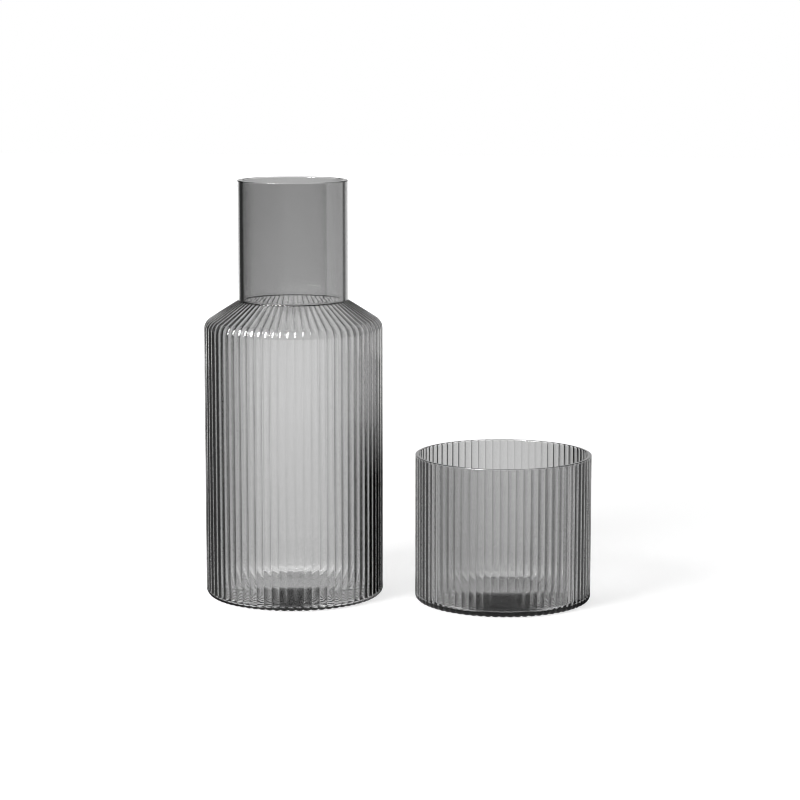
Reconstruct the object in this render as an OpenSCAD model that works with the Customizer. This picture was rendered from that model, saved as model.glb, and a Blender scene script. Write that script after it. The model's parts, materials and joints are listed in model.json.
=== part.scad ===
// Bedside carafe with its tumbler: two separate pieces of smoked glass.
// Fine upright ribs cover both. On the carafe they wrap round the bottom corner, climb the body,
// turn over the shoulder and narrow with it up to the foot of a smooth, straight neck.
// On the tumbler they end under a smooth rim. The insides are smooth.
// The frame: origin at the centre of the carafe's base, +Z up, tumbler on +X. Millimetres.

/* [Carafe] */
// Body width, over the crests of the ribs
body_w = 90; // [80:0.5:100]
// Height from the base to the rim
carafe_h = 210.5; // [195:0.5:230]
// Outside width of the neck
neck_w = 55.2; // [48:0.2:62]
// Length of the straight neck, from the shoulder to the rim
neck_h = 60.2; // [45:0.2:70]
// Fall of the shoulder, in degrees from level
shoulder_slope = 32.4; // [20:0.2:40]
// Radius of the corner between shoulder and body
shoulder_round = 6.3; // [4:0.1:9]
// Radius of the bottom corner
base_round = 3.5; // [2:0.1:5]
// Glass of the neck
neck_wall = 2.4; // [1.6:0.1:3.2]
// Glass of the shoulder, under the crests
shoulder_wall = 1.2; // [1.1:0.1:2.8]
// Glass of the body, under the crests
body_wall = 1.3; // [1.1:0.1:2.6]
// Glass of the floor
floor_wall = 1.8; // [1.4:0.1:4]
// Radius of the inside bottom corner
heel_round = 2; // [1.2:0.1:4]
// Radius where the neck's bore opens into the shoulder
throat_round = 1.6; // [0.8:0.1:2.5]

/* [Tumbler] */
// Width, over the crests of the ribs
tumbler_w = 88.6; // [80:0.2:96]
// Height from the base to the rim
tumbler_h = 73.9; // [60:0.1:90]
// Radius of the bottom corner
tumbler_base_round = 2.5; // [1.6:0.1:4]
// Glass of the side, under the crests
tumbler_wall = 2.1; // [1.6:0.1:3.2]
// Glass of the floor
tumbler_floor_wall = 2; // [1.5:0.1:4]
// Radius of the inside bottom corner
tumbler_heel_round = 2; // [1:0.1:4]

/* [Rims] */
// Radius of the fire-polished edges, outside and inside
lip_round = 0.4; // [0.2:0.1:0.6]
// Height of the smooth band above the tumbler's ribs
rim_band = 0.7; // [0.7:0.1:3]

/* [Ribs] */
// Ribs round the carafe
rib_count = 70; // [50:1:80]
// Ribs round the tumbler
tumbler_rib_count = 72; // [50:1:80]
// Depth of the valleys between the crests
rib_depth = 0.5; // [0.2:0.05:0.7]
// Turn of the carafe's ribs round its axis, in degrees
rib_turn = 1.9; // [0:0.1:5]
// Turn of the tumbler's ribs round its axis, in degrees
tumbler_rib_turn = 2.2; // [0:0.1:5]

/* [Base] */
// Width of the flat ring that each piece stands on
foot_ring = 4; // [2:0.2:8]
// Rise of the hollow inside that ring
punt_rise = 0.8; // [0.3:0.1:1.5]

/* [Placing] */
// Space between the two pieces where they stand
stand_gap = 17; // [5:0.5:60]

/* [Hidden] */
glass_colour = [0.42, 0.42, 0.43, 0.55];
$fn = 240;

// Steps that draw one rib, and the arcs of the ribbed rings and of the smooth profiles
rib_steps = 4;
ring_steps = 3;
arc_steps = 8;

// Shares: how much of a rib's depth is left where it turns under the base, and how deep
// a covered end reaches into the glass that covers it
heel_rib_share = 0.6;
cover_share = 0.5;
rim_hold_share = 0.2;

body_r = body_w / 2;
neck_r = neck_w / 2;
bore_r = neck_r - neck_wall;
inner_r = body_r - body_wall;
foot_z = carafe_h - neck_h;

tumbler_r = tumbler_w / 2;
tumbler_inner_r = tumbler_r - tumbler_wall;
tumbler_x = body_r + stand_gap + tumbler_r;

// Heights of the centres of the shoulder's rounding, outside and inside. Both are tangent to the
// straight fall of the shoulder and to the upright side.
inner_round = max(shoulder_round - shoulder_wall, throat_round);
shoulder_z = foot_z - (body_r - shoulder_round - neck_r) * tan(shoulder_slope)
    - shoulder_round / cos(shoulder_slope);
inner_foot_z = foot_z + neck_wall * tan(shoulder_slope) - shoulder_wall / cos(shoulder_slope);
inner_shoulder_z = inner_foot_z - (inner_r - inner_round - bore_r) * tan(shoulder_slope)
    - inner_round / cos(shoulder_slope);
// Centre of the throat's rounding, tangent to the bore and to the inside fall of the shoulder
throat_centre = [
    bore_r + throat_round,
    inner_foot_z - throat_round * tan(shoulder_slope) + throat_round / cos(shoulder_slope)
];

// Points on an arc, from one angle to another
function arc(centre, radius, from, to, steps) = [
    for (i = [0:steps])
        let (a = from + (to - from) * i / steps)
        [centre[0] + radius * cos(a), centre[1] + radius * sin(a)]
];

// Height of a rib's round back at a step across it: 0 in the valleys, 1 on the crest
function rib_height(step) = 1 - pow(2 * (step % rib_steps) / rib_steps - 1, 2);

// One point of a ribbed ring. A ring is [radius, height, outward normal, share of the rib's depth].
function ring_point(ring, step, steps, turn) =
    let (a = 360 * step / steps + turn)
    let (sunk = rib_depth * ring[3] * (1 - rib_height(step)))
    let (r = ring[0] - sunk * ring[2][0])
    [r * cos(a), r * sin(a), ring[1] - sunk * ring[2][1]];

// Rings round the bottom corner, where the ribs grow from nothing at the flat base
function heel_rings(radius, round) = [
    for (i = [0:ring_steps])
        let (a = -90 + 90 * i / ring_steps)
        let (share = i == 0 ? 0 : i == 1 ? heel_rib_share : 1)
        [radius - round + round * cos(a), round + round * sin(a), [cos(a), sin(a)], share]
];

// Rings over the shoulder's rounding. The ribs get finer with the girth.
function shoulder_rings() = [
    for (i = [0:ring_steps])
        let (a = (90 - shoulder_slope) * i / ring_steps)
        let (r = body_r - shoulder_round + shoulder_round * cos(a))
        [r, shoulder_z + shoulder_round * sin(a), [cos(a), sin(a)], r / body_r]
];

// The shoulder's ribs run into the neck's glass, where two rings close them off
function neck_rings() =
    let (r = neck_r - neck_wall * cover_share * cover_share)
    [
        [
            r,
            foot_z + (neck_r - r) * tan(shoulder_slope),
            [sin(shoulder_slope), cos(shoulder_slope)],
            r / body_r
        ],
        [neck_r - neck_wall * cover_share, foot_z, [0, 1], 0]
    ];

// The tumbler's ribs run up into the glass of its smooth rim
function rim_rings() =
    let (z = tumbler_h - rim_band)
    let (r = tumbler_r - rib_depth * rim_hold_share)
    [
        [tumbler_r, z - rim_band, [1, 0], 1],
        [r, z + rim_band * cover_share, [1, 0], 1],
        [tumbler_r - tumbler_wall * cover_share, z + rim_band * cover_share, [0, 1], 0]
    ];

// A solid with ribbed sides through the given rings, and a flat top and bottom
module ribbed_solid(rings, ribs, turn) {
    steps = ribs * rib_steps;
    last = len(rings) - 1;
    points = [for (ring = rings) for (j = [0:steps - 1]) ring_point(ring, j, steps, turn)];
    lower_faces = [
        for (i = [0:last - 1]) for (j = [0:steps - 1])
            [i * steps + j, (i + 1) * steps + j, i * steps + (j + 1) % steps]
    ];
    upper_faces = [
        for (i = [0:last - 1]) for (j = [0:steps - 1])
            [i * steps + (j + 1) % steps, (i + 1) * steps + j, (i + 1) * steps + (j + 1) % steps]
    ];
    bottom = [for (j = [0:steps - 1]) j];
    top = [for (j = [0:steps - 1]) last * steps + steps - 1 - j];
    polyhedron(points = points, faces = concat(lower_faces, upper_faces, [bottom, top]));
}

// The shallow hollow under a base, inside its flat ring
module punt(radius) {
    rotate_extrude()
        polygon(concat(
            [[0, -punt_rise], [radius, -punt_rise]],
            [for (i = [0:arc_steps])
                let (share = 1 - i / arc_steps)
                [radius * share, punt_rise * (1 - share * share)]]
        ));
}

// Inside floor: it rises in the middle as the hollow under it does, and meets a round corner
function floor_points(radius, wall, round) = concat(
    [for (i = [0:arc_steps - 1])
        let (share = i / arc_steps)
        [(radius - round) * share, wall + punt_rise * (1 - share * share)]],
    arc([radius - round, wall + round], round, -90, 0, arc_steps)
);

// Inside edge of a fire-polished rim: the cut widens round it and runs on past the top
function lip_cut_points(radius, height) = concat(
    arc([radius + lip_round, height - lip_round], lip_round, 180, 90, arc_steps),
    [[radius + lip_round, height + lip_round], [0, height + lip_round]]
);

// Outside edge of a rim: an upright band with a rounded top
function lip_points(radius, height) = concat(
    arc([radius - lip_round, height - lip_round], lip_round, 0, 90, arc_steps),
    [[0, height]]
);

module carafe_inside() {
    rotate_extrude()
        polygon(concat(
            floor_points(inner_r, floor_wall, heel_round),
            arc([inner_r - inner_round, inner_shoulder_z], inner_round,
                0, 90 - shoulder_slope, arc_steps),
            arc(throat_centre, throat_round, 270 - shoulder_slope, 180, arc_steps),
            lip_cut_points(bore_r, carafe_h)
        ));
}

module carafe() {
    color(glass_colour)
        difference() {
            union() {
                ribbed_solid(
                    concat(heel_rings(body_r, base_round), shoulder_rings(), neck_rings()),
                    rib_count,
                    rib_turn
                );
                rotate_extrude()
                    polygon(concat(
                        [[0, foot_z - neck_wall], [neck_r, foot_z - neck_wall]],
                        lip_points(neck_r, carafe_h)
                    ));
            }
            carafe_inside();
            punt(body_r - base_round - foot_ring);
        }
}

module tumbler() {
    color(glass_colour)
        translate([tumbler_x, 0, 0])
            difference() {
                union() {
                    ribbed_solid(
                        concat(heel_rings(tumbler_r, tumbler_base_round), rim_rings()),
                        tumbler_rib_count,
                        tumbler_rib_turn
                    );
                    rotate_extrude()
                        polygon(concat(
                            [
                                [0, tumbler_h - rim_band - tumbler_wall * cover_share],
                                [
                                    tumbler_r - tumbler_wall * cover_share,
                                    tumbler_h - rim_band - tumbler_wall * cover_share
                                ],
                                [tumbler_r, tumbler_h - rim_band]
                            ],
                            lip_points(tumbler_r, tumbler_h)
                        ));
                }
                rotate_extrude()
                    polygon(concat(
                        floor_points(tumbler_inner_r, tumbler_floor_wall, tumbler_heel_round),
                        lip_cut_points(tumbler_inner_r, tumbler_h)
                    ));
                punt(tumbler_r - tumbler_base_round - foot_ring);
            }
}

carafe();
tumbler();
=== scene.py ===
import json
from math import cos, radians, sin, tan

import bpy
import numpy as np
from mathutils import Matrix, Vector, noise


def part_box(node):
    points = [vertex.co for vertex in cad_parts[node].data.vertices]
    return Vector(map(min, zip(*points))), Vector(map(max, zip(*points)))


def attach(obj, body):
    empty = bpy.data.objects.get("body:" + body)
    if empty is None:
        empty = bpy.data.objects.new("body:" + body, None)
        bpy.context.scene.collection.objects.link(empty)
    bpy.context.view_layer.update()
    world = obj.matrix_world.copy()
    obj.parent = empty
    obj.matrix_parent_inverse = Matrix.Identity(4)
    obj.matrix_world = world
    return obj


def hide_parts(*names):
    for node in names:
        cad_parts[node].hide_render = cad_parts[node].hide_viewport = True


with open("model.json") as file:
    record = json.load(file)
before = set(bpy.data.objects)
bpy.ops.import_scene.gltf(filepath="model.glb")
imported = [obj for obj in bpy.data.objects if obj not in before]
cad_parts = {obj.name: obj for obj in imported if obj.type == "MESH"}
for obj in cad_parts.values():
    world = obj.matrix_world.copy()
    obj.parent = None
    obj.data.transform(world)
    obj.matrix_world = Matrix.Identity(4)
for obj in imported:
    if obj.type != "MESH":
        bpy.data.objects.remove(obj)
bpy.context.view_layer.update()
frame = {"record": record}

# The visual model of a ribbed carafe and its tumbler in smoked glass, in metres and with Z up.
# Each piece is one closed shell through a list of rings, so its glass has real walls.

MM = 0.001
MOUNTS = {m["name"]: m for m in frame["record"]["mounts"]}
CARAFE_LOW, CARAFE_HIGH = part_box("carafe")
TUMBLER_LOW, TUMBLER_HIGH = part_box("tumbler")

# Carafe. The outer sizes come from the frame.
BODY_R = (CARAFE_HIGH[1] - CARAFE_LOW[1]) / 2
CARAFE_H = CARAFE_HIGH[2]
BORE_R = MOUNTS["neck_bore"]["dims"]["r_mm"] * MM
NECK_WALL = 2.4 * MM
NECK_R = BORE_R + NECK_WALL
NECK_H = 60.2 * MM
FOOT_Z = CARAFE_H - NECK_H
SHOULDER_SLOPE = radians(32.4)
SHOULDER_ROUND = 6.3 * MM
SHOULDER_WALL = 1.2 * MM
BODY_WALL = 1.3 * MM
FLOOR_WALL = 1.8 * MM
BASE_ROUND = 3.5 * MM
HEEL_ROUND = 2.0 * MM
THROAT_ROUND = 1.6 * MM
FOOT_ROUND = 1.0 * MM

# Tumbler
TUMBLER_R = (TUMBLER_HIGH[1] - TUMBLER_LOW[1]) / 2
TUMBLER_H = TUMBLER_HIGH[2]
TUMBLER_X = MOUNTS["tumbler_base"]["pos_m"][0]
TUMBLER_WALL = 2.1 * MM
TUMBLER_FLOOR_WALL = 2.0 * MM
TUMBLER_BASE_ROUND = 2.5 * MM
TUMBLER_HEEL_ROUND = 2.0 * MM

# Rims and bases
LIP_ROUND = 0.4 * MM
FOOT_RING = 4.0 * MM
PUNT_RISE = 0.8 * MM

# Ribs: their number, turn and depth, and where the steps across one rib lie. Their depth falls
# with a power of the girth on the shoulder, and step by step in the hollow at the neck's foot.
# Under the base they go on as low flutes, and in its corner they grow to their full depth.
CARAFE_RIBS, TUMBLER_RIBS = 70, 72
CARAFE_TURN, TUMBLER_TURN = radians(1.9), radians(2.2)
RIB_DEPTH = 0.5 * MM
RIB_PLACES = (0, 0.04, 0.12, 0.24, 0.37, 0.5, 0.63, 0.76, 0.88, 0.96)
RIB_STEPS = len(RIB_PLACES)
FINER = 1.5
FOOT_SHARES = (1.0, 1.0, 0.8, 0.4, 0.0)
FLUTE_SHARE = 0.7
RIB_GROWTH = 1.6

# Steps of the round forms and of the straight walls. Each wall also has a ring close to each of
# its ends, which keeps the shading crisp there. The middle of a base is closed from a tiny ring.
CORNER_STEPS = 8
PUNT_STEPS = 5
FLOOR_STEPS = 6
LIP_STEPS = 4
THROAT_STEPS = 5
INNER_SHOULDER_STEPS = 6
BODY_STEPS, SLOPE_STEPS, NECK_STEPS = 6, 4, 4
INNER_BODY_STEPS, INNER_SLOPE_STEPS = 20, 3
TUMBLER_STEPS, INNER_TUMBLER_STEPS = 8, 14
END_STEP = 0.3 * MM
CENTRE_SHARE = 0.02

# The blown glass is a little uneven inside: height of the waves, their lengths, and the length
# over which they die out below the neck
WAVE_H = 0.02 * MM
WAVE_ACROSS = 8 * MM
WAVE_UP = 28 * MM
WAVE_FADE = 12 * MM
WAVE_SHIFT = (1.0, 2.3, 0.7)
CARAFE_SEED, TUMBLER_SEED = 3.1, 8.6

# Glass
GLASS_IOR = 1.51
GLASS_ROUGHNESS = 0.0
SMOKE_PER_M = 205

# The photographed view, from a fit to the outlines
CAMERA_PLACE = (0.20096, -1.22359, 0.29051)
CAMERA_TURN = (radians(81.227), 0, radians(6.848))
CAMERA_LENS = 111.57
SENSOR_W = 36
FILTER_W = 1.0
BOUNCES = 32
GLOSSY_BOUNCES = 12

# Floor: its glow to the camera grows with the distance from the middle of the set
FLOOR_SIDE = 8.0
FLOOR_DROP = 0.1 * MM
FLOOR_COLOUR = (0.8, 0.8, 0.8, 1)
SET_MIDDLE = (0.053, 0.0, 0.0)
GLOW_PLACES = (0.3, 1.2)
GLOW_TONES = (0.62, 1.0)

# Light on the set, and the bright window that only the glass mirrors
WORLD_LIGHT = 0.35
LIGHT_AIM = (0.04, 0, 0.1)
SOFTBOX_PLACE = (-0.75, -0.95, 0.95)
SOFTBOX_W, SOFTBOX_H = 0.5, 0.7
SOFTBOX_POWER = 12
SHINE_PLACE = (-0.65, -1.0, 0.85)
SHINE_W, SHINE_H = 0.55, 1.2
SHINE_TONE = 28.0

# Cards that only the glass sees. The flag stands between the pieces as a sheet of painted shade,
# dark to the carafe below FLAG_FADE and behind FLAG_START; the pale cards stand on the tumbler's
# left and right.
CARD_FRONT, CARD_BACK = -0.04, 0.055
CARD_LOW, CARD_HIGH = -0.05, 0.11
FLAG_X, LEFT_CARD_X, RIGHT_CARD_X = 0.0535, 0.0545, 0.165
FLAG_FADE = (0.06, 0.105)
FLAG_START = (-0.03, -0.015)
LEFT_CARD_END = (-0.015, 0.02)
CARD_TONE = 0.95

# The backdrop lies behind the set as the camera sees it
BACKDROP_TURN = radians(6.848)
BACKWARD = (-sin(BACKDROP_TURN), cos(BACKDROP_TURN), 0)
RIGHTWARD = (cos(BACKDROP_TURN), sin(BACKDROP_TURN), 0)

# What shows through the glass: brightness at degrees from the backdrop's direction. It is a
# little lower near the horizon, and steep looks down meet brighter ground.
SURROUND = [(-180, 0.9), (-82, 0.9), (-72, 0.04), (-28, 0.04), (-25, 0.45), (-21, 0.8),
            (-14, 0.82), (-7, 0.84), (7, 0.82), (13, 0.75), (17, 0.58), (20, 0.45), (23, 0.2),
            (25, 0.05), (28, 0.05), (32, 0.45), (65, 0.45), (75, 0.9), (180, 0.9)]
HORIZON_TOP = (4.0, 6.3)
HORIZON_TONE = 0.83
LOW_FROM, LOW_TONE = (12.4, 13.0), 1.35
UNDER_FROM, UNDER_TONE = (22.0, 34.0), 1.9

# The dark gap over the backdrop, in degrees up from the horizon and sideways
GAP_START, GAP_END = (13.1, 13.5), (32.0, 38.0)
GAP_SIDE = (20.0, 26.0)
GAP_TONE = 0.0

# Painted shade on the ground, which shows through the front half of each base
CARAFE_DARK_HALF, TUMBLER_DARK_HALF = 0.0105, 0.0165
DARK_SIDE_EDGE, DARK_REAR_EDGE = 0.006, 0.004
DARK_REAR = 0.002

# What the glass mirrors: a glow overhead, and nearly nothing in the front half of the room
OVERHEAD_FROM, OVERHEAD_TONE = (45.0, 60.0), 4.0
FRONT_FROM = (98.0, 103.0)
MIRRORED_TONE = 0.1

# What the glass mirrors of the floor, as painted light that only reflections see. Shares are
# sines of the angle backwards or to the right, and the other pairs are distances from the set and
# tones.
FRONT_SHARE = (-0.3, -0.5)
FRONT_NEAR, FRONT_TONES = (0.2, 0.7), (0.5, 2.4)
FRONT_FAR, FAR_SHARE = (1.0, 1.6), 0.2
BEHIND_SHARE, BEHIND_TONE = (0.74, 0.84), 1.3
ZONE_SIDE = 0.1
ZONE_FROM = (0.86, 0.92)
RIGHT_SHARE, RIGHT_END, RIGHT_TONE = (-0.26, -0.2), (0.6, 0.72), 1.7
LEFT_SHARE, LEFT_TONE = (0.45, 0.6), 0.6
LOSS_SHARE, LOSS_FROM, LEFT_LOSS = (-0.2, -0.75), (0.95, 1.25), 1.0


# Rings. A ring is (radius, height, outward normal's r and z, share of the ribs' depth).

def arc(r, z, radius, start, end, steps):
    """Rings on an arc about (r, z), from one angle to another, in radians."""
    return [(r + radius * cos(a), z + radius * sin(a), cos(a), sin(a), 0.0)
            for a in np.linspace(start, end, steps + 1)]


def straight(a, b, steps):
    """Rings from one ring to another, without the first."""
    near = END_STEP / float(np.hypot(b[0] - a[0], b[1] - a[1]))
    places = [near] + [i / steps for i in range(1, steps)] + [1 - near, 1]
    return [(a[0] + (b[0] - a[0]) * t, a[1] + (b[1] - a[1]) * t, a[2], a[3],
             a[4] + (b[4] - a[4]) * t) for t in places]


def join(rings, more, steps):
    """Two lists of rings with a straight wall between."""
    return rings + straight(rings[-1], more[0], steps)[:-1] + more


def base_rings(radius, base_round):
    """The hollow under the base, its flat ring, and the round corner where the ribs begin."""
    ring_in = radius - base_round - FOOT_RING
    out = []
    for i in range(PUNT_STEPS + 1):
        t = CENTRE_SHARE + (1 - CENTRE_SHARE) * i / PUNT_STEPS
        out.append((ring_in * t, PUNT_RISE * (1 - t * t), 0, -1, FLUTE_SHARE * t * t))
    corner = arc(radius - base_round, base_round, base_round, radians(-90), 0, CORNER_STEPS)
    for i, (r, z, nr, nz, _) in enumerate(corner):
        share = min(1.0, FLUTE_SHARE + RIB_GROWTH * i / CORNER_STEPS)
        out.append((r, z, nr, nz, share))
    return out


def floor_rings(inner_r, wall, heel_round):
    """The inside's bottom corner and its floor, from the side inwards."""
    floor_r = inner_r - heel_round
    out = arc(floor_r, wall + heel_round, heel_round, 0, radians(-90), CORNER_STEPS)
    for i in range(1, FLOOR_STEPS + 1):
        t = 1 - i / FLOOR_STEPS * (1 - CENTRE_SHARE)
        out.append((floor_r * t, wall + PUNT_RISE * (1 - t * t), 0, -1, 0.0))
    return out


def lip_rings(outer_r, inner_r, height):
    """The two rounded edges of a rim."""
    z = height - LIP_ROUND
    return (arc(outer_r - LIP_ROUND, z, LIP_ROUND, 0, radians(90), LIP_STEPS)
            + arc(inner_r + LIP_ROUND, z, LIP_ROUND, radians(90), radians(180), LIP_STEPS))


def foot_rings(slope):
    """The small hollow corner where the shoulder's ribs run out into the neck."""
    r = NECK_R + FOOT_ROUND
    z = FOOT_Z - FOOT_ROUND * tan(slope) + FOOT_ROUND / cos(slope)
    out = []
    for i, share in enumerate(FOOT_SHARES):
        a = (radians(90) - slope) * (1 - i / (len(FOOT_SHARES) - 1))
        out.append((r - FOOT_ROUND * cos(a), z - FOOT_ROUND * sin(a), cos(a), sin(a),
                    share * (NECK_R / BODY_R) ** FINER))
    return out


def carafe_rings():
    """From the middle of the base up the outside, and down the inside to the floor's middle."""
    slope = SHOULDER_SLOPE
    inner_r = BODY_R - BODY_WALL
    inner_round = SHOULDER_ROUND - SHOULDER_WALL
    shoulder_z = (FOOT_Z - (BODY_R - SHOULDER_ROUND - NECK_R) * tan(slope)
                  - SHOULDER_ROUND / cos(slope))
    inner_foot_z = FOOT_Z + NECK_WALL * tan(slope) - SHOULDER_WALL / cos(slope)
    inner_shoulder_z = (inner_foot_z - (inner_r - inner_round - BORE_R) * tan(slope)
                        - inner_round / cos(slope))
    throat_z = inner_foot_z - THROAT_ROUND * tan(slope) + THROAT_ROUND / cos(slope)

    shoulder = arc(BODY_R - SHOULDER_ROUND, shoulder_z, SHOULDER_ROUND,
                   0, radians(90) - slope, CORNER_STEPS)
    shoulder = [(r, z, nr, nz, (r / BODY_R) ** FINER) for r, z, nr, nz, _ in shoulder]
    throat = arc(BORE_R + THROAT_ROUND, throat_z, THROAT_ROUND,
                 radians(180), radians(270) - slope, THROAT_STEPS)
    inner_shoulder = arc(inner_r - inner_round, inner_shoulder_z, inner_round,
                         radians(90) - slope, 0, INNER_SHOULDER_STEPS)

    out = join(base_rings(BODY_R, BASE_ROUND), shoulder, BODY_STEPS)
    out = join(out, foot_rings(slope), SLOPE_STEPS)
    out = join(out, lip_rings(NECK_R, BORE_R, CARAFE_H), NECK_STEPS)
    out = join(out, throat, NECK_STEPS)
    out = join(out, inner_shoulder, INNER_SLOPE_STEPS)
    return join(out, floor_rings(inner_r, FLOOR_WALL, HEEL_ROUND), INNER_BODY_STEPS)


def tumbler_rings():
    """As the carafe's. The ribs end a little under the rim."""
    inner_r = TUMBLER_R - TUMBLER_WALL
    out = base_rings(TUMBLER_R, TUMBLER_BASE_ROUND)
    under_lip = (TUMBLER_R, TUMBLER_H - 2 * LIP_ROUND, 1, 0, 1.0)
    out += straight(out[-1], under_lip, TUMBLER_STEPS)
    out += lip_rings(TUMBLER_R, inner_r, TUMBLER_H)
    floor = floor_rings(inner_r, TUMBLER_FLOOR_WALL, TUMBLER_HEEL_ROUND)
    return join(out, floor, INNER_TUMBLER_STEPS)


# Pieces

def unevenness(points, normals, seed):
    """Points moved along their normals by smooth, seeded waves."""
    shift = Vector([seed * share for share in WAVE_SHIFT])
    waves = np.array([noise.noise(Vector((x / WAVE_ACROSS, y / WAVE_ACROSS, z / WAVE_UP)) + shift)
                      for x, y, z in points])
    share = (1 - normals[:, 2] ** 2) * np.clip((FOOT_Z - points[:, 2]) / WAVE_FADE, 0, 1)
    return points + normals * (WAVE_H * waves * share)[:, None]


def glass_piece(name, rings, x, ribs, turn, seed, material):
    """A closed shell through the rings, ribbed outside and a little uneven inside."""
    columns = ribs * RIB_STEPS
    step = np.arange(columns)
    across = np.array(RIB_PLACES)[step % RIB_STEPS]
    angle = 2 * np.pi * (step // RIB_STEPS + across) / ribs + turn
    back = 1 - (2 * across - 1) ** 2
    ring = np.array(rings)
    sunk = RIB_DEPTH * ring[:, 4:5] * (1 - back)[None, :]
    r = ring[:, 0:1] - sunk * ring[:, 2:3]
    z = ring[:, 1:2] - sunk * ring[:, 3:4]
    points = np.stack([r * np.cos(angle), r * np.sin(angle), z], -1)
    normals = np.stack([ring[:, 2:3] * np.cos(angle), ring[:, 2:3] * np.sin(angle),
                        np.repeat(ring[:, 3:4], columns, 1)], -1)

    top = int(np.argmax(ring[:, 1]))
    inside = slice(top + LIP_STEPS + 2, len(rings))
    shape = points[inside].shape
    points[inside] = unevenness(points[inside].reshape(-1, 3),
                                normals[inside].reshape(-1, 3), seed).reshape(shape)

    count = len(rings)
    middles = [[0, 0, rings[0][1]], [0, 0, rings[-1][1]]]
    verts = np.concatenate([points.reshape(-1, 3), middles])
    verts[:, 0] += x
    i, j = np.meshgrid(np.arange(count - 1), step, indexing="ij")
    k = (j + 1) % columns
    quads = np.stack([i * columns + j, i * columns + k, (i + 1) * columns + k,
                      (i + 1) * columns + j], -1).reshape(-1, 4)
    low, high = count * columns, count * columns + 1
    last = (count - 1) * columns
    faces = quads.tolist()
    faces += [[low, (j + 1) % columns, j] for j in range(columns)]
    faces += [[high, last + j, last + (j + 1) % columns] for j in range(columns)]
    mesh = bpy.data.meshes.new(name)
    mesh.from_pydata(verts.tolist(), [], faces)
    mesh.shade_smooth()
    mesh.update()
    mesh.materials.append(material)
    ob = bpy.data.objects.new(name, mesh)
    bpy.context.collection.objects.link(ob)
    return ob


# Materials

class Shader:
    """A cleared node tree, with short ways to make and link its nodes."""

    def __init__(self, owner):
        owner.use_nodes = True
        self.nodes, self.links = owner.node_tree.nodes, owner.node_tree.links
        self.nodes.clear()

    def put(self, slot, value):
        """Links an output to a socket, or sets a plain value on the socket itself."""
        if isinstance(value, bpy.types.NodeSocket):
            self.links.new(value, slot)
        else:
            slot.default_value = value

    def math(self, operation, *values):
        node = self.nodes.new("ShaderNodeMath")
        node.operation = operation
        for slot, value in zip(node.inputs, values):
            self.put(slot, value)
        return node.outputs[0]

    def product(self, first, *others):
        for other in others:
            first = self.math("MULTIPLY", first, other)
        return first

    def ramp(self, value, start, end, low=0.0, high=1.0, kind="LINEAR"):
        """A value that goes from low to high while another goes from start to end."""
        node = self.nodes.new("ShaderNodeMapRange")
        node.interpolation_type = kind
        for name, number in (("Value", value), ("From Min", start), ("From Max", end),
                             ("To Min", low), ("To Max", high)):
            self.put(node.inputs[name], number)
        return node.outputs[0]

    def rise(self, height, degrees, low=0.0, high=1.0):
        """The same, for a direction's height between two angles over the horizon."""
        start, end = (sin(radians(d)) for d in degrees)
        return self.ramp(height, start, end, low, high)

    def vector(self, operation, vector, other, output):
        node = self.nodes.new("ShaderNodeVectorMath")
        node.operation = operation
        node.inputs[1].default_value = other
        self.links.new(vector, node.inputs[0])
        return node.outputs[output]

    def along(self, vector, axis):
        """A vector's length along an axis."""
        return self.vector("DOT_PRODUCT", vector, axis, "Value")

    def blend(self, amount, first, second):
        """The first number where the amount is 0, and the second where it is 1."""
        node = self.nodes.new("ShaderNodeMix")
        node.data_type = "FLOAT"
        for index, value in ((0, amount), (2, first), (3, second)):
            self.put(node.inputs[index], value)
        return node.outputs[0]

    def pick(self, amount, first, second):
        """The same, for two shaders."""
        node = self.nodes.new("ShaderNodeMixShader")
        for slot, value in zip(node.inputs, (amount, first, second)):
            self.put(slot, value)
        return node.outputs[0]

    def glow(self, strength):
        node = self.nodes.new("ShaderNodeEmission")
        self.put(node.inputs["Strength"], strength)
        return node.outputs[0]

    def clear(self):
        return self.nodes.new("ShaderNodeBsdfTransparent").outputs[0]

    def ray(self, kind):
        """1 for one kind of ray, and 0 for the others."""
        return self.nodes.new("ShaderNodeLightPath").outputs[f"Is {kind} Ray"]

    def seen_directly(self):
        """1 for what the camera sees, straight or in or through glass, and 0 for other light."""
        either = self.math("MAXIMUM", self.ray("Camera"), self.ray("Glossy"))
        return self.math("MAXIMUM", either, self.ray("Transmission"))

    def finish(self, surface, kind="ShaderNodeOutputMaterial"):
        out = self.nodes.new(kind)
        self.links.new(surface, out.inputs["Surface"])
        return out


def smoked_glass():
    mat = bpy.data.materials.new("smoked_glass")
    sh = Shader(mat)
    glass = sh.nodes.new("ShaderNodeBsdfPrincipled")
    glass.inputs["Base Color"].default_value = (1, 1, 1, 1)
    glass.inputs["Roughness"].default_value = GLASS_ROUGHNESS
    glass.inputs["IOR"].default_value = GLASS_IOR
    glass.inputs["Transmission Weight"].default_value = 1
    smoke = sh.nodes.new("ShaderNodeVolumeAbsorption")
    smoke.inputs["Color"].default_value = (0, 0, 0, 1)
    smoke.inputs["Density"].default_value = SMOKE_PER_M
    out = sh.finish(glass.outputs["BSDF"])
    sh.links.new(smoke.outputs["Volume"], out.inputs["Volume"])
    return mat


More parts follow.
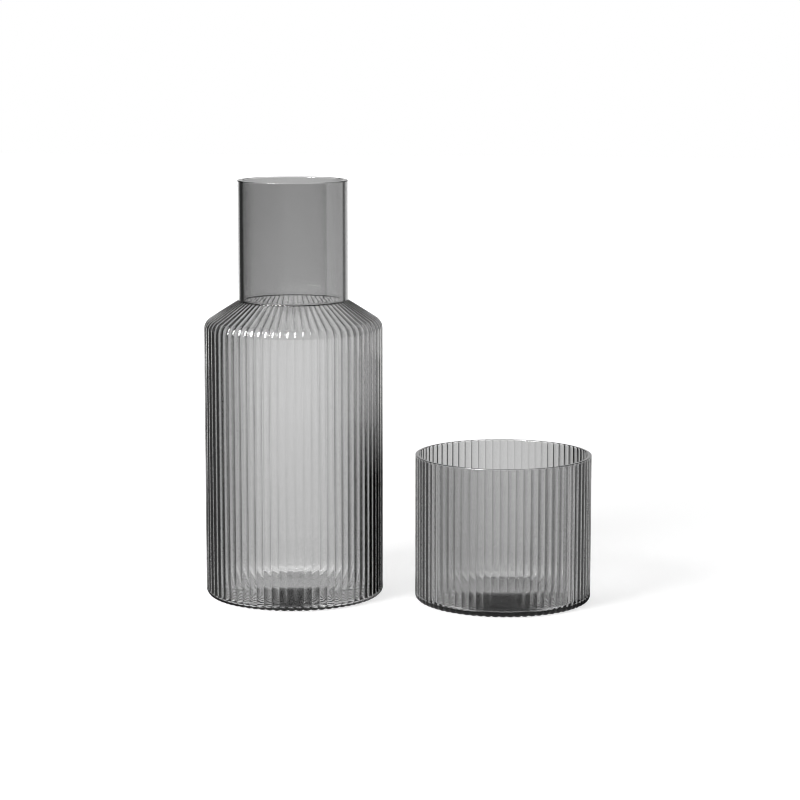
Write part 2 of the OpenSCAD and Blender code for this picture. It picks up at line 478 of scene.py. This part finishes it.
def mirrored_floor(sh, position, distance):
    """How bright the glass mirrors the floor, as painted light: lit in front of the set, dim
    beside and far off.

    Farther out, where only the neck mirrors it, a pale zone lies to the right and behind, a
    smaller one behind on the left, and the front is dimmer on the left.
    """
    back = sh.math("DIVIDE", sh.along(position, BACKWARD), distance)
    right = sh.math("DIVIDE", sh.along(position, RIGHTWARD), distance)
    lit = sh.product(sh.ramp(distance, *FRONT_NEAR, *FRONT_TONES),
                     sh.ramp(distance, *FRONT_FAR, 1.0, FAR_SHARE),
                     sh.ramp(back, *FRONT_SHARE))
    lit = sh.math("ADD", lit, sh.ramp(back, *BEHIND_SHARE, 0.0, BEHIND_TONE))
    far_out = sh.ramp(distance, *ZONE_FROM)
    right_zone = sh.product(sh.ramp(back, *RIGHT_SHARE, 0.0, RIGHT_TONE),
                            sh.ramp(right, 0.0, ZONE_SIDE),
                            sh.ramp(back, *RIGHT_END, 1.0, 0.0), far_out)
    left_zone = sh.product(sh.ramp(back, *LEFT_SHARE, 0.0, LEFT_TONE),
                           sh.ramp(right, 0.0, -ZONE_SIDE), far_out)
    left_loss = sh.product(sh.ramp(right, *LOSS_SHARE, 0.0, LEFT_LOSS),
                           sh.ramp(distance, *LOSS_FROM))
    lit = sh.math("ADD", sh.math("ADD", lit, right_zone), left_zone)
    return sh.math("MAXIMUM", sh.math("SUBTRACT", lit, left_loss), MIRRORED_TONE)


def painted_shade_under(sh, position):
    """1 where painted shade on the ground lets the glass show no light through the front half of
    a base, 0 elsewhere.
    """
    total = 0.0
    for x, half, depth in ((0.0, CARAFE_DARK_HALF, BODY_R),
                           (TUMBLER_X, TUMBLER_DARK_HALF, TUMBLER_R)):
        local = sh.vector("SUBTRACT", position, (x, 0, 0), "Vector")
        across = sh.math("ABSOLUTE", sh.along(local, RIGHTWARD))
        back = sh.along(local, BACKWARD)
        spot = sh.product(
            sh.ramp(across, half - DARK_SIDE_EDGE, half + DARK_SIDE_EDGE, 1.0, 0.0),
            sh.ramp(back, DARK_REAR - DARK_REAR_EDGE, DARK_REAR + DARK_REAR_EDGE, 1.0, 0.0),
            sh.ramp(back, -depth, DARK_REAR_EDGE - depth))
        total = sh.math("ADD", spot, total)
    return total


def pale_floor():
    """A plainly lit white floor, which also glows a little to the camera so that it shows white.

    The glass mirrors its tones, which are painted light, from mirrored_floor, and shows the
    surround through it, except for the painted shade on the ground under the bases.
    """
    mat = bpy.data.materials.new("floor")
    sh = Shader(mat)
    position = sh.nodes.new("ShaderNodeNewGeometry").outputs["Position"]
    distance = sh.vector("DISTANCE", position, SET_MIDDLE, "Value")
    diffuse = sh.nodes.new("ShaderNodeBsdfDiffuse")
    diffuse.inputs["Color"].default_value = FLOOR_COLOUR
    level = sh.ramp(distance, *GLOW_PLACES, *GLOW_TONES, "SMOOTHSTEP")
    plain = sh.nodes.new("ShaderNodeAddShader")
    sh.put(plain.inputs[0], diffuse.outputs[0])
    sh.put(plain.inputs[1], sh.glow(sh.product(sh.seen_directly(), level)))
    # Glossy rays see the floor's painted light from mirrored_floor.
    mirrored = sh.glow(mirrored_floor(sh, position, distance))
    # Through the glass the floor is clear, but black with painted shade under the front half of
    # each base.
    through = sh.pick(painted_shade_under(sh, position), sh.clear(), sh.glow(0))
    seen = sh.pick(sh.ray("Glossy"), plain.outputs[0], mirrored)
    sh.finish(sh.pick(sh.ray("Transmission"), seen, through))
    return mat


def surround_tone(sh, way, height):
    """Brightness of the surround in a direction, and how far that lies in the front half."""
    angle = sh.math("ARCTAN2", sh.along(way, RIGHTWARD), sh.along(way, BACKWARD))
    ramp = sh.nodes.new("ShaderNodeValToRGB")
    stops = ramp.color_ramp.elements
    while len(stops) > 1:
        stops.remove(stops[0])
    for n, (degrees, tone) in enumerate(SURROUND):
        place = (degrees + 180) / 360
        stop = stops[0] if n == 0 else stops.new(place)
        stop.position = place
        stop.color = (tone, tone, tone, 1)
    sh.put(ramp.inputs["Fac"], sh.ramp(angle, radians(-180), radians(180)))

    aside = sh.math("ABSOLUTE", angle)
    gap = sh.product(sh.rise(height, GAP_START), sh.rise(height, GAP_END, 1.0, 0.0),
                     sh.ramp(aside, radians(GAP_SIDE[0]), radians(GAP_SIDE[1]), 1.0, 0.0))
    horizon = sh.rise(sh.math("ABSOLUTE", height), HORIZON_TOP, HORIZON_TONE)
    tone = sh.blend(gap, sh.product(ramp.outputs["Color"], horizon), GAP_TONE)
    return tone, sh.ramp(aside, radians(FRONT_FROM[0]), radians(FRONT_FROM[1]))


def build_world():
    """White to the camera, a soft even light on things, and a studio in and through the glass."""
    world = bpy.data.worlds.new("studio")
    bpy.context.scene.world = world
    sh = Shader(world)
    way = sh.nodes.new("ShaderNodeTexCoord").outputs["Generated"]
    height = sh.along(way, (0, 0, 1))
    surround, front = surround_tone(sh, way, height)
    plain = sh.ramp(sh.seen_directly(), 0.0, 1.0, WORLD_LIGHT, 1.0)
    lifted = sh.product(surround, sh.rise(height, OVERHEAD_FROM, 1.0, OVERHEAD_TONE))
    mirrored = sh.blend(sh.ray("Glossy"), plain, sh.blend(front, lifted, MIRRORED_TONE))
    down = sh.math("MULTIPLY", height, -1.0)
    lower = sh.math("MAXIMUM", sh.rise(down, LOW_FROM, 1.0, LOW_TONE),
                    sh.rise(down, UNDER_FROM, 1.0, UNDER_TONE))
    sky = sh.nodes.new("ShaderNodeBackground")
    sky.inputs["Color"].default_value = (1, 1, 1, 1)
    sh.put(sky.inputs["Strength"],
           sh.blend(sh.ray("Transmission"), mirrored, sh.product(surround, lower)))
    sh.finish(sky.outputs[0], "ShaderNodeOutputWorld")


# Stage, light and camera

def stage_face(name, corners, material):
    """A flat face of the stage."""
    mesh = bpy.data.meshes.new(name)
    mesh.from_pydata(corners, [], [(0, 1, 2, 3)])
    mesh.materials.append(material)
    ob = bpy.data.objects.new(name, mesh)
    bpy.context.collection.objects.link(ob)
    return ob


def show_to_glass_only(ob):
    ob.visible_camera = False
    ob.visible_diffuse = False
    ob.visible_shadow = False


def aim(ob, place):
    """Puts a lamp or a face in its place, and turns it to the set."""
    ob.location = place
    ob.rotation_euler = (Vector(LIGHT_AIM) - Vector(place)).to_track_quat("-Z", "Y").to_euler()


def build_floor():
    h = FLOOR_SIDE / 2
    stage_face("floor", [(x, y, -FLOOR_DROP) for x, y in ((-h, -h), (h, -h), (h, h), (-h, h))],
               pale_floor())


def build_lamp():
    lamp = bpy.data.lights.new("softbox", "AREA")
    lamp.shape = "RECTANGLE"
    lamp.size, lamp.size_y = SOFTBOX_W, SOFTBOX_H
    lamp.energy = SOFTBOX_POWER
    ob = bpy.data.objects.new("softbox", lamp)
    bpy.context.collection.objects.link(ob)
    aim(ob, SOFTBOX_PLACE)


def build_shine():
    """The bright window that only the glass mirrors, in its rims and its rounded shoulder."""
    mat = bpy.data.materials.new("shine")
    sh = Shader(mat)
    sh.finish(sh.glow(SHINE_TONE))
    w, h = SHINE_W / 2, SHINE_H / 2
    ob = stage_face("shine", [(-w, -h, 0), (w, -h, 0), (w, h, 0), (-w, h, 0)], mat)
    aim(ob, SHINE_PLACE)
    show_to_glass_only(ob)
    ob.visible_transmission = False


def card(name, x, tone, amount_maker):
    """A card on edge beside the tumbler: it glows where the amount is 1 and is clear at 0."""
    mat = bpy.data.materials.new(name)
    sh = Shader(mat)
    place = sh.nodes.new("ShaderNodeNewGeometry")
    depth = sh.along(place.outputs["Position"], (0, 1, 0))
    height = sh.along(place.outputs["Position"], (0, 0, 1))
    amount = amount_maker(sh, depth, height, place.outputs["Backfacing"])
    sh.finish(sh.pick(amount, sh.clear(), sh.glow(tone)))
    show_to_glass_only(stage_face(name, [
        (x, CARD_FRONT, CARD_LOW), (x, CARD_BACK, CARD_LOW),
        (x, CARD_BACK, CARD_HIGH), (x, CARD_FRONT, CARD_HIGH)], mat))


# The flag's black side is painted shade that the carafe's glass sees, fading out upwards and
# towards the front.
def painted_shade_to_carafe(sh, depth, height, away):
    return sh.product(sh.ramp(height, *FLAG_FADE, 1.0, 0.0), sh.ramp(depth, *FLAG_START), away)


def pale_to_tumbler(sh, depth, height, away):
    return sh.product(sh.ramp(depth, *LEFT_CARD_END, 1.0, 0.0), sh.math("SUBTRACT", 1.0, away))


def all_of_it(sh, depth, height, away):
    return 1.0


def build_cards():
    """Pale beside the tumbler on both sides, and a dark flag of painted shade to the carafe
    between the pieces.
    """
    # The flag is a black sheet of painted shade between the pieces.
    card("flag", FLAG_X, 0.0, painted_shade_to_carafe)
    card("left_card", LEFT_CARD_X, CARD_TONE, pale_to_tumbler)
    card("right_card", RIGHT_CARD_X, CARD_TONE, all_of_it)


def build_camera():
    data = bpy.data.cameras.new("camera")
    data.lens = CAMERA_LENS
    data.sensor_width = SENSOR_W
    ob = bpy.data.objects.new("camera", data)
    bpy.context.collection.objects.link(ob)
    ob.location = CAMERA_PLACE
    ob.rotation_euler = CAMERA_TURN
    bpy.context.scene.camera = ob


def settings():
    scene = bpy.context.scene
    scene.view_settings.view_transform = "Standard"
    scene.cycles.max_bounces = BOUNCES
    scene.cycles.transmission_bounces = BOUNCES
    scene.cycles.glossy_bounces = GLOSSY_BOUNCES
    scene.cycles.filter_width = FILTER_W


def build_pieces():
    glass = smoked_glass()
    for body, name, rings, x, ribs, turn, seed in (
            ("carafe", "carafe_glass", carafe_rings(), 0, CARAFE_RIBS, CARAFE_TURN, CARAFE_SEED),
            ("tumbler", "tumbler_glass", tumbler_rings(), TUMBLER_X, TUMBLER_RIBS, TUMBLER_TURN,
             TUMBLER_SEED)):
        ob = glass_piece(name, rings, x, ribs, turn, seed, glass)
        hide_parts(body)
        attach(ob, body)


build_pieces()
build_floor()
build_world()
build_lamp()
build_shine()
build_cards()
build_camera()
settings()
bpy.context.view_layer.update()
